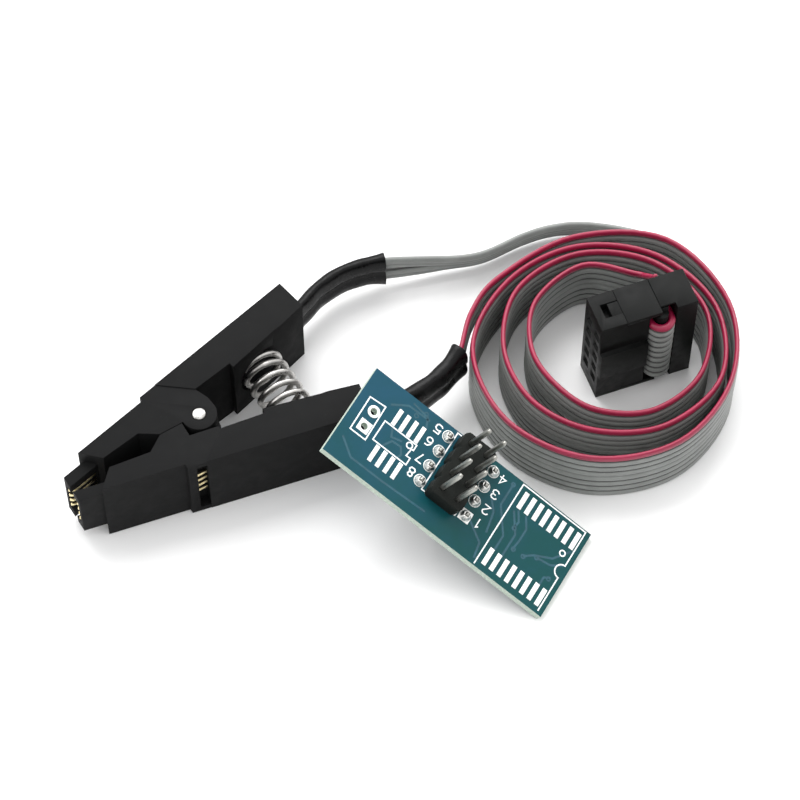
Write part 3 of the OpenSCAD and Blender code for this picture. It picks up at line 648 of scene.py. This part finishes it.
CAMERA_AIM = Vector((0.0275, -0.0060, 0.0))
CAMERA_SIDE = Vector((-0.2729, -0.4368, 0.8572)).normalized()
CAMERA_DISTANCE = 0.4294
LAMP_AIM = Vector((0.03, -0.01, 0))
LAMPS = {       # place, size, and share of the key light's power
    "Key": ((0.14, 0.45, 0.78), (0.6, 0.5), 3.8),
    "Left": ((-0.65, 0.10, 0.50), (0.3, 0.3), 0.7),
    "Rim": ((0.50, 0.35, 0.30), (0.12, 0.4), 0.5)}


class CLIP_OT_stage(bpy.types.Operator):
    """White table, soft lights and the camera"""
    bl_idname = "clip.stage"
    bl_label = "Stage"

    def execute(self, context):
        look = context.scene.clip_stage
        camera_data = bpy.data.cameras.new("Camera")
        camera_data.lens = look.focal
        camera_data.sensor_width = 36.0
        camera_data.clip_start = 0.01
        camera = bpy.data.objects.new("Camera", camera_data)
        camera.location = CAMERA_AIM + CAMERA_SIDE * CAMERA_DISTANCE
        camera.rotation_euler = (-CAMERA_SIDE).to_track_quat("-Z", "Y").to_euler()
        context.scene.collection.objects.link(camera)
        context.scene.camera = camera

        floor = new_piece(
            "table", [(-4, -4, 0), (4, -4, 0), (4, 4, 0), (-4, 4, 0)], [(0, 1, 2, 3)],
            smooth=False, metres=True)
        net, shader, cloth = surface("White table")
        tone = net.ramp(net.noise(net.place(), 3.0, 2.0), 0.3, 0.7, 0.985, 1.0)
        shade = net.mix(tone, (0, 0, 0, 1), tuple(look.floor))
        net.link(shade, shader.inputs["Base Color"])
        shader.inputs["Roughness"].default_value = 0.9
        give(floor, cloth)

        world = bpy.data.worlds.new("Studio")
        world.use_nodes = True
        context.scene.world = world
        net = Net(world.node_tree)
        sky = net.node("ShaderNodeVectorMath", operation="DOT_PRODUCT")
        net.link(net.node("ShaderNodeTexCoord").outputs["Generated"], sky.inputs[0])
        sky.inputs[1].default_value = (0.27, 0.42, 0.86)
        level = net.ramp(sky.outputs["Value"], -0.35, 1.0, 0.22, 1.2)
        back = world.node_tree.nodes["Background"]
        net.link(net.mix(level, (0, 0, 0, 1), (1, 1, 1, 1)), back.inputs["Color"])
        back.inputs["Strength"].default_value = look.fill

        for name, (place, size, share) in LAMPS.items():
            data = bpy.data.lights.new(name, "AREA")
            data.shape = "RECTANGLE"
            data.size, data.size_y = size
            data.energy = look.key * share
            lit = bpy.data.objects.new(name, data)
            lit.location = place
            lit.rotation_euler = (LAMP_AIM - Vector(place)).to_track_quat("-Z", "Y").to_euler()
            context.scene.collection.objects.link(lit)
        context.scene.view_settings.view_transform = "Standard"
        return {"FINISHED"}


class CLIP_OT_mouldings(bpy.types.Operator):
    """Black jaws and handle covers, with the steel pin and the plated contacts"""
    bl_idname = "clip.mouldings"
    bl_label = "Jaws, covers, pin and contacts"

    def fingers(self, sign):
        """Faces of the contacts' fingers that stand out of their comb."""
        parts = []
        path = [Vector((x, sign * y, 0)) for x, y in FINGER_WAY]
        t, w = FINGER_T / 2, FINGER_W / 2
        for k in range(LEAD_STRANDS):
            z = CLIP_MID + place_in_lead(k) * WIRE_PITCH
            section = [(-t, z - w), (t, z - w), (t, z + w), (-t, z + w)]
            parts.append(lofted(swept(path, section)))
        return parts

    def execute(self, context):
        look = context.scene.clip_look
        body = moulded("Moulded black", look.plastic, rough=0.68, scuffs=0.3)
        for name in ("lower_jaw", "upper_jaw", "lower_cover", "upper_cover"):
            dress(name, body, look.edge)
        pin = metal("Pin steel", look.steel, 0.28, 2500.0, (1, 4, 1), tarnish=0.45)
        dress("pivot_pin", pin, 0.00012)
        plated = metal("Contact gold", look.gold, 0.3, tarnish=0.85)
        for name in ("lower_contacts", "upper_contacts"):
            dress(name, plated, 0.00004)
        for side, sign in (("upper", 1), ("lower", -1)):
            piece = new_piece("contact_fingers_" + side, *joined(self.fingers(sign)))
            give(piece, plated)
            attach(piece, side + "_half")
        bright = metal("Solder", (0.86, 0.86, 0.83, 1.0), 0.34, 300.0, tarnish=0.85)
        grey = cable_surface("Inner insulation", context.scene.clip_cable.grey)
        for side in ("lower", "upper"):
            dress(side + "_solder", bright)
            dress(side + "_wires", grey)
        return {"FINISHED"}


class CLIP_OT_spring(bpy.types.Operator):
    """Compression spring with closed, ground ends"""
    bl_idname = "clip.spring"
    bl_label = "Spring"

    def execute(self, context):
        look = context.scene.clip_look
        low, high = (Vector(c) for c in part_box("spring"))
        middle = (low + high) / 2
        reach = (high.y - low.y) - look.wire
        radius = (look.coil - look.wire) / 2
        turns, steps, sides = 6.45, 44, 16
        closed = 0.5 / turns            # share of the coils that lies flat at each end
        flat = look.wire * 0.3          # rise of such a flat end
        ground = look.wire * 0.12       # taken off the wire where an end is ground
        count = int(turns * steps)
        rings = []
        for i in range(count + 1):
            t = i / count
            if t < closed:
                along = t / closed * flat
            elif t > 1 - closed:
                along = reach - (1 - t) / closed * flat
            else:
                along = flat + (reach - 2 * flat) * (t - closed) / (1 - 2 * closed)
            turn = 2 * math.pi * i / steps
            ring = []
            for k in range(sides):
                a = 2 * math.pi * k / sides
                r = radius + look.wire / 2 * math.cos(a)
                y = low.y + look.wire / 2 + along + look.wire / 2 * math.sin(a)
                ring.append((
                    middle.x + r * math.cos(turn),
                    min(max(y, low.y + ground), high.y - ground),
                    middle.z + r * math.sin(turn)))
            rings.append(ring)
        points, faces = lofted(rings)
        piece = new_piece("coil_spring", points, faces, metres=True)
        give(piece, metal("Spring wire", look.steel, 0.30, 700.0, tarnish=0.74))
        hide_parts("spring")
        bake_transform(piece)
        return {"FINISHED"}


class CLIP_OT_sleeves(bpy.types.Operator):
    """Wrinkled shrink sleeves over the two leads"""
    bl_idname = "clip.sleeves"
    bl_label = "Shrink sleeves"
    steps = 14

    def sleeve(self, name, way, seed, half_w, half_t, crease):
        """One sleeve: wrinkled, creased between its pairs, and flared at its mouth."""
        path = spline(way, self.steps)
        sides = 36
        section = []
        for k in range(sides):
            a = 2 * math.pi * k / sides
            c, s = math.cos(a), math.sin(a)
            waist = 1 - crease * math.exp(-(s / 0.16) ** 2)
            u = half_t * math.copysign(abs(c) ** 0.55, c) * waist
            section.append((u, half_w * math.copysign(abs(s) ** 0.9, s)))

        def wrinkle(i, k, u, v):
            at = Vector((i * 0.16, u * 0.9 + seed, v * 0.55))
            fine = Vector((i * 0.55, u * 1.6 + seed, v * 1.9))
            folds = noise.noise(at * 1.7) * 0.15 + abs(noise.noise(fine)) * 0.11
            grip = 1 + 0.05 * math.sin(i * 0.35 + seed)
            flare = 1 + 0.16 * smooth((i + self.steps - len(path)) / self.steps)
            return (
                u * grip * flare * (1 + folds * 0.4) - math.copysign(folds * 0.25, u),
                v * flare * (1 - folds * 0.12))

        rings = swept(path, section, wrinkle)
        hollow = swept(path[-6:], [(u * 0.80, v) for u, v in section])
        return new_piece(name, *lofted(rings + [hollow[-1], hollow[0]]))

    def execute(self, context):
        look = context.scene.clip_look
        skin = moulded(
            "Shrink sleeve", look.sleeve, rough=0.30, scuffs=0.08, fine=3000.0, broad=1500.0,
            strength=0.4, gloss=0.15)
        lower = self.sleeve("shrink_sleeve_lower", LOWER_SLEEVE, 3.0, 3.0, 1.25, 0.2)
        upper = self.sleeve("shrink_sleeve_upper", UPPER_SLEEVE, 9.0, 2.85, 0.95, 0.45)
        for piece, node in ((lower, "lower_sleeve"), (upper, "upper_sleeve")):
            give(piece, skin)
            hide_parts(node)
        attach(lower, "lower_half")
        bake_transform(upper)
        return {"FINISHED"}


class CLIP_OT_cable(bpy.types.Operator):
    """Eight conductors of the flat cable, from the sleeves to the socket"""
    bl_idname = "clip.cable"
    bl_label = "Flat cable"

    def execute(self, context):
        look = context.scene.clip_cable
        grey = cable_surface("Grey insulation", look.grey)
        red = cable_surface("Crimson insulation", look.red)
        red.node_tree.nodes["Principled BSDF"].inputs["Specular IOR Level"].default_value = 0.6
        plain = ribbed(look.strand_t / MM, look.strand_h / MM)
        marked = ribbed(look.edge_t / MM, look.edge_h / MM)
        drop = Vector((0, 0, (look.strand_h - look.edge_h) / 2 / MM))
        for k in range(STRANDS):
            path = strand_way(k)
            section, height = plain, look.strand_h
            if k == STRANDS - 1:
                path = [p - drop for p in path]
                section, height = marked, look.edge_h
            piece = new_piece("conductor_%d" % (k + 1), *lofted(swept(path, section)))
            # painted shade in the crease below each conductor, and above too except on each
            # lead's top conductor
            paint_crease_shade(piece, len(section), above=(k + 1) % LEAD_STRANDS != 0)
            give(piece, red if k == STRANDS - 1 else grey)
            if k < LEAD_STRANDS:
                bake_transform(piece)
                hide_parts("upper_lead", "ribbon_cable")
            else:
                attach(piece, "lower_half")
                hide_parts("lower_lead", "ribbon_cable")
        return {"FINISHED"}


class CLIP_OT_socket(bpy.types.Operator):
    """Moulded socket, with the cable folded round its clamping bar"""
    bl_idname = "clip.socket"
    bl_label = "Socket and folded cable"

    def execute(self, context):
        look = context.scene.clip_cable
        body = moulded(
            "Socket black", (0.0048, 0.0052, 0.0050, 1.0), rough=0.42, scuffs=0.28, broad=900.0)
        for name in ("socket_body", "socket_cover", "strain_relief"):
            dress(name, body, 0.00010)
        dress("socket_contacts", bpy.data.materials["Contact gold"], 0.00003)

        section = ribbed(1.02, 1.16, full=1.0)
        grey = bpy.data.materials["Grey insulation"]
        red = bpy.data.materials["Crimson insulation"]
        for shade, ways in ((grey, range(CABLE_WAYS - 1)), (red, [CABLE_WAYS - 1])):
            parts = [lofted(self.fold(section, fold_z(k))) for k in ways]
            piece = new_piece("cable_fold_" + shade.name.split()[0].lower(), *joined(parts))
            # painted shade in each crease between the folded conductors; the red one gets it only
            # below
            paint_crease_shade(piece, len(section), above=shade is grey)
            give(piece, shade)
            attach(piece, "lower_half")
            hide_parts("ribbon_fold")
        return {"FINISHED"}

    def fold(self, section, z):
        """Rings of one conductor: out of the body, round the bar and into the relief."""
        straight = [SOCKET_T / 2, 0.6, FOLD_Y + 0.4]
        middle = (FOLD_X0 + FOLD_X1) / 2
        steps = 18
        line = [(FOLD_X0, y) for y in straight]
        for i in range(steps + 1):
            a = math.pi * i / steps
            line.append((middle - FOLD_R * math.cos(a), FOLD_Y - FOLD_R * math.sin(a)))
        line += [(FOLD_X1, y) for y in reversed(straight)]
        return swept([at_socket(x, y, z) for x, y in line], section)


class CLIP_OT_board(bpy.types.Operator):
    """Adapter board, its pads, solder and pins"""
    bl_idname = "clip.board"
    bl_label = "Adapter board"

    def execute(self, context):
        look = context.scene.clip_board
        dress("adapter_board", board_surface(look))
        # painted reflection: nearly white and hardly metallic, so the white surroundings that
        # tinned pads reflect are painted into the colour
        tin_and_reflection = metal("Tinned pad", look.tin_and_reflection, 0.5, 700.0, tarnish=0.95)
        tin_and_reflection.node_tree.nodes["Principled BSDF"].inputs["Metallic"].default_value = 0.15
        dress("adapter_pads", tin_and_reflection, 0.00002, 1)
        bar = moulded("Header black", (0.011, 0.0125, 0.0112, 1.0), rough=0.56, scuffs=0.25)
        for name in ("header_bar", "leg_bars"):
            dress(name, bar, 0.00006)
        pins = metal("Tinned pin", (0.42, 0.42, 0.39, 1.0), 0.36, 400.0, tarnish=0.85)
        for name in ("header_posts", "leg_posts"):
            dress(name, pins, 0.00012)
        bright = bpy.data.materials["Solder"]
        for name in ("header_solder", "leg_solder"):
            dress(name, bright, 0.00016)
        return {"FINISHED"}


# ---- the board's print and traces, in the board's own axes (millimetres) ---------------

NUMBER_SIZE = 0.21      # one square of the grid that the numbers are drawn on
INK = (0.002, 0.022)    # lower and upper face, over the board
COPPER = (0.0005, 0.012)
RING = (0.0005, 0.016)
COPPER_W = 0.30
RING_R = 0.27
RING_W = 0.2

# Strokes of the printed numbers on a grid 4 wide and 6 high
STROKES = {
    "1": [[(1, 5), (2.2, 6), (2.2, 0)]],
    "2": [[(0, 4.9), (0.6, 5.7), (1.5, 6), (2.6, 6), (3.5, 5.6), (4, 4.8), (3.8, 3.9), (0, 0),
           (4, 0)]],
    "3": [[(0, 5.2), (0.9, 6), (3, 6), (3.9, 5.2), (3.9, 4), (3, 3.2), (1.7, 3.2)],
          [(3, 3.2), (4, 2.2), (4, 0.9), (3, 0), (0.9, 0), (0, 0.8)]],
    "4": [[(3, 0), (3, 6), (0, 1.8), (4.2, 1.8)]],
    "5": [[(3.8, 6), (0.3, 6), (0.1, 3.4), (1.2, 3.9), (2.8, 3.9), (4, 2.9), (4, 1), (3, 0),
           (0.8, 0), (0, 0.7)]],
    "6": [[(3.6, 5.8), (2, 5.8), (0.6, 4.4), (0, 2.4), (0.2, 0.9), (1.2, 0), (2.8, 0), (3.9, 1),
           (3.9, 2.4), (2.9, 3.3), (1.3, 3.3), (0.1, 2.2)]],
    "7": [[(0, 6), (4, 6), (1.6, 0)]],
    "8": [[(2, 3.2), (0.7, 3.7), (0.4, 4.9), (1.2, 6), (2.8, 6), (3.6, 4.9), (3.3, 3.7), (2, 3.2),
           (0.4, 2.5), (0, 1.2), (0.9, 0), (3.1, 0), (4, 1.2), (3.6, 2.5), (2, 3.2)]],
}
NUMBERS_AT = {
    "5": (-1.7, 0), "6": (-1.8, -2.3), "7": (-1.6, -5.0), "8": (-1.6, -7.4),
    "4": (9.3, -0.15), "3": (9.45, -2.5), "2": (9.55, -5.1), "1": (9.6, -7.4)}
TRACES = [
    [(13.35, -2.35), (14.15, -3.55), (14, -4.75)],
    [(14.65, -2.35), (15.55, -3.75), (15.55, -5.75), (15.35, -7.25)],
    [(13.35, -8.95), (13.35, -6.55), (10.85, -3.15), (10.85, 0.25)],
    [(14.65, -8.95), (14.65, -5.35), (12.85, -2.75)],
    [(22.15, -2.45), (20.65, -4.75), (18.25, -6.05), (17.15, -7.05)],
    [(22.25, -4.75), (20.85, -5.75), (18.85, -6.05)],
    [(20.95, -8.95), (20.95, -7.75), (21.65, -7.25)],
    [(-6.75, -7.05), (-5.95, -5.55), (-4.55, -5.45), (-3.95, -6.35), (-4.25, -7.15)],
    [(-6.85, -3.95), (-6.35, -5.15), (-4.95, -4.75)],
    [(-8.65, -1.35), (-6.65, 0.05), (-3.35, 0.15)],
    [(-3.05, -1.15), (-3.65, 0.35), (-6.15, 0.75)],
    [(8.55, -7.75), (11.15, -9.45), (11.55, -11.55)],
    [(8.85, -2.65), (10.55, -4.65), (11.15, -7.55)],
    [(-11.65, -9.35), (-9.35, -11.05), (-4.15, -11.05), (2.65, -10.75)]]
VIAS = [
    (14.05, -4.7), (15.45, -7.2), (17.1, -7.15), (18.75, -6.1), (21.6, -7.5), (4.4, 0.8),
    (-4.1, 0.6), (-5.1, -0.45), (10.85, 0.3)]


class CLIP_OT_print(bpy.types.Operator):
    """Printed outlines and pin numbers, and the traces and vias under the mask"""
    bl_idname = "clip.print"
    bl_label = "Printing and traces"

    def stroke(self, line, width, low, high, closed=False):
        """A flat line with square ends, low to high above the board."""
        line = [Vector(p) for p in line]
        count = len(line)
        rings = []
        for i, here in enumerate(line):
            before = line[i - 1] if i or closed else here
            after = line[(i + 1) % count] if i < count - 1 or closed else here
            a, b = (here - before), (after - here)
            a = a.normalized() if a.length else b.normalized()
            b = b.normalized() if b.length else a
            turn = a + b
            turn = turn.normalized() if turn.length > 1e-6 else a
            side = Vector((-turn.y, turn.x)) * (width / 2 / max(0.5, turn.dot(a)))
            ends = Vector((0, 0))
            if not closed and i in (0, count - 1):
                ends = (b if i == 0 else a) * (width / 2) * (-1 if i == 0 else 1)
            p, q = here + side + ends, here - side + ends
            corners = ((p, low), (p, high), (q, high), (q, low))
            rings.append([BOARD_MATRIX @ Vector((at.x, at.y, z)) for at, z in corners])
        if closed:
            rings.append(rings[0])
        return lofted(rings, closed=not closed)

    def arc(self, x, y, r, start=0, end=360, steps=20):
        """Points of an arc, its angles in degrees."""
        return [(
            x + r * math.cos(math.radians(start + (end - start) * i / steps)),
            y + r * math.sin(math.radians(start + (end - start) * i / steps)))
            for i in range(steps + (0 if end - start == 360 else 1))]

    def number(self, digit, x, y):
        """Strokes of a number that reads from the board's far end, centred on x, y."""
        size = NUMBER_SIZE
        return [
            [(x - (u - 2) * size, y - (v - 3) * size) for u, v in line]
            for line in STROKES[digit]]

    def execute(self, context):
        look = context.scene.clip_board
        width = look.ink_width / MM
        lines = []
        rings = []
        # outline of the header, interrupted where the bar hides it
        lines.append([(2.7, -8.45), (0.8, -8.45), (0.8, 1.3), (1.6, 1.3)])
        lines.append([(4.6, -8.5), (6.4, -8.5), (6.4, -7.45)])
        # narrow chip: a notched box with its first pin marked
        rings.append([
            (-2.9, -4.75), (-2.9, -3.85), (-8.2, -3.85), (-8.2, -7.05), (-2.7, -7.05),
            (-2.7, -5.95), (-3.35, -5.95), (-3.2, -4.75)])
        rings.append(self.arc(-3.7, -4.5, 0.42))
        # supply terminal
        rings.append([(-11.6, -2.4), (-9.15, -2.2), (-9.0, -7.8), (-11.5, -7.8)])
        # wide chip: a box with a round notch at the board's end
        notch = self.arc(22.62, -5.5, 1.0, 90, 270, 12)
        lines.append(
            [(12.0, 1.3), (22.62, 1.3), (22.62, -4.4)] + notch
            + [(22.62, -6.6), (22.62, -12.0)])
        lines.append([(12.0, 1.3), (12.0, -12.2)])
        rings.append(self.arc(21.4, -3.25, 0.4))
        for digit, (x, y) in NUMBERS_AT.items():
            lines.extend(self.number(digit, x, y))
        parts = [self.stroke(line, width, *INK) for line in lines]
        parts += [self.stroke(ring, width, *INK, closed=True) for ring in rings]
        ink = new_piece("printed_outlines", *joined(parts), smooth=False)
        give(ink, speckled("White ink", look.ink, 5000.0, 0.93, 0.5))

        copper = [self.stroke(line, COPPER_W, *COPPER) for line in TRACES]
        copper += [
            self.stroke(self.arc(x, y, RING_R), RING_W, *RING, closed=True) for x, y in VIAS]
        under = new_piece("masked_traces", *joined(copper), smooth=False)
        give(under, speckled("Mask over copper", look.trace, 900.0, 0.7, 0.25))
        for piece in (ink, under):
            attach(piece, "adapter")
        return {"FINISHED"}


class CLIP_PT_panel(bpy.types.Panel):
    """Buttons and values of the test clip"""
    bl_label = "Test clip"
    bl_idname = "CLIP_PT_panel"
    bl_space_type = "VIEW_3D"
    bl_region_type = "UI"
    bl_category = "Test clip"

    def draw(self, context):
        for step in STEPS:
            self.layout.operator(step.bl_idname)
        for group, words in GROUPS.items():
            box = self.layout.box()
            values = getattr(context.scene, group)
            for name in words.__annotations__:
                box.prop(values, name)


STEPS = (
    CLIP_OT_stage, CLIP_OT_mouldings, CLIP_OT_spring, CLIP_OT_sleeves, CLIP_OT_cable,
    CLIP_OT_socket, CLIP_OT_board, CLIP_OT_print)
GROUPS = {
    "clip_look": ClipLook, "clip_cable": CableLook, "clip_board": BoardLook,
    "clip_stage": StageLook}


def register():
    for item in (*GROUPS.values(), *STEPS, CLIP_PT_panel):
        bpy.utils.register_class(item)
    for name, group in GROUPS.items():
        setattr(bpy.types.Scene, name, bpy.props.PointerProperty(type=group))


def unregister():
    for name in GROUPS:
        delattr(bpy.types.Scene, name)
    for item in reversed((*GROUPS.values(), *STEPS, CLIP_PT_panel)):
        bpy.utils.unregister_class(item)


def main():
    register()
    for step in STEPS:
        group, name = step.bl_idname.split(".")
        getattr(getattr(bpy.ops, group), name)()


if __name__ == "__main__":
    main()
